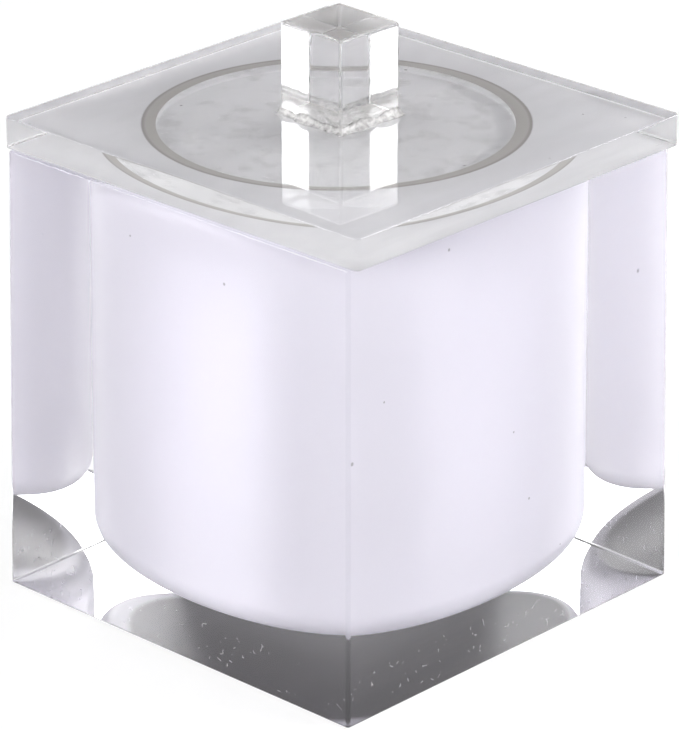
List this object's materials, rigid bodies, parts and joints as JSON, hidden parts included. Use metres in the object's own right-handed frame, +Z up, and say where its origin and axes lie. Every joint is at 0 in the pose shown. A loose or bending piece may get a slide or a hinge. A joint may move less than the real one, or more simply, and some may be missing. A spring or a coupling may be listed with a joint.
{
  "type": "cotton pad holder",
  "caption": "Clear square vanity jar with a white round cup set in it and a clear lift-off lid with a square knob, for cotton pads.",
  "frame": {"origin": "centre of the block's base, on the surface it stands on", "axes": "+Z up; +X to the right and -Y towards the front when the lid's longer overhang faces the front"},
  "size_m": [0.0926, 0.0938, 0.1175],
  "materials": {
    "clear_block": "polished clear cast resin with small specks and hairlines",
    "white_liner": "opaque white cast plastic, smooth",
    "clear_lid": "polished clear acrylic sheet with fine scratches",
    "clear_disc": "clear acrylic disc, turned edge",
    "clear_cement": "clear cement, uneven where it was squeezed out",
    "clear_knob": "polished clear acrylic block with softened edges"
  },
  "bodies": {
    "jar": {"outer_block": "clear_block", "liner_cup": "white_liner"},
    "lid": {"lid_plate": "clear_lid", "locating_disc": "clear_disc", "disc_bond": "clear_cement", "knob": "clear_knob", "knob_bond": "clear_cement"}
  },
  "joints": [
    {"name": "lid_lift", "type": "slide", "parent": "jar", "child": "lid", "axis": [0, 0, 1], "range_m": [0, 0.09]}
  ]
}
